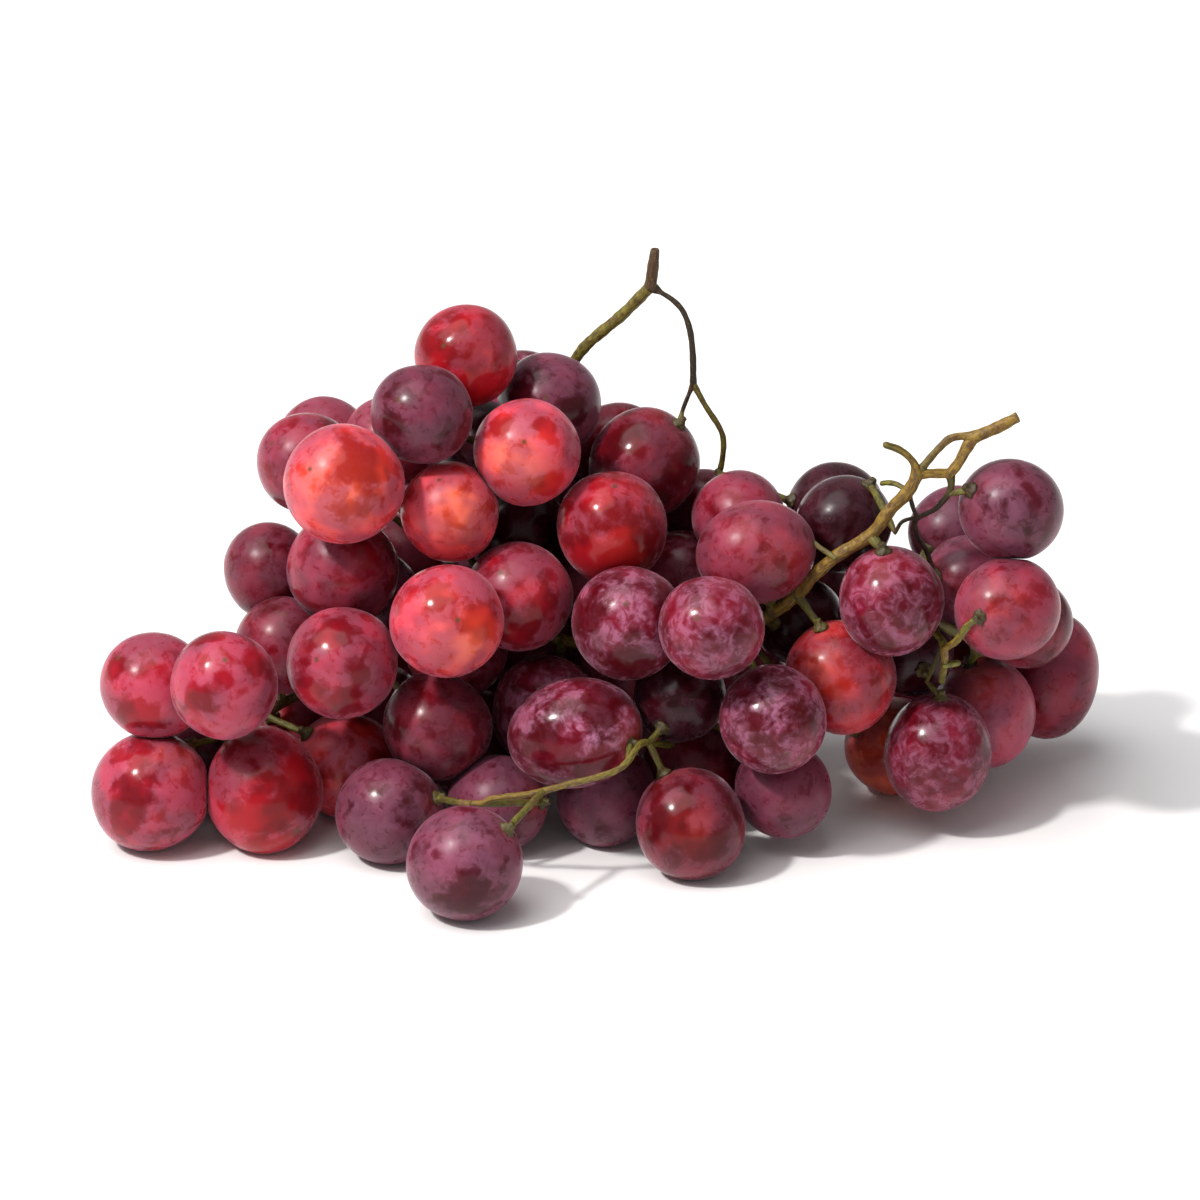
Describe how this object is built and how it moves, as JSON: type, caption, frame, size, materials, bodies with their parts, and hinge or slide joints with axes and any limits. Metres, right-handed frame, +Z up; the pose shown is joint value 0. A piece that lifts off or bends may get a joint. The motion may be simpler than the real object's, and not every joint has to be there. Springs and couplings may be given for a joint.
{
  "type": "bunch of grapes",
  "caption": "Bunch of red table grapes lying on its side, round berries in a low heap on a branching stem with two cut ends standing clear of the fruit.",
  "frame": {"origin": "middle of the bunch's box, on the surface that the bunch lies on", "axes": "+X along the bunch's longest extent, from the tip on the left to the fruit on the right as the front sees it; +Y to the back; +Z up"},
  "size_m": [0.2303, 0.1379, 0.1271],
  "materials": {
    "berry_skin": "thin waxy grape skin, wine red with a grey-lilac bloom, glossy where it is wiped",
    "stem_wood": "olive-green to mustard-brown grape stem, matt and slightly ribbed"
  },
  "bodies": {
    "root": {"left_tip_berries": "berry_skin", "left_shoulder_berries": "berry_skin", "crown_left_berries": "berry_skin", "crown_top_berries": "berry_skin", "centre_berries": "berry_skin", "tail_berries": "berry_skin", "tail_end_berries": "berry_skin", "front_berries": "berry_skin", "front_end_berries": "berry_skin", "middle_berries": "berry_skin", "right_inner_berries": "berry_skin", "right_front_berries": "berry_skin", "right_back_berries": "berry_skin", "right_tip_berries": "berry_skin", "right_low_berries": "berry_skin", "stem": "stem_wood"}
  },
  "joints": []
}
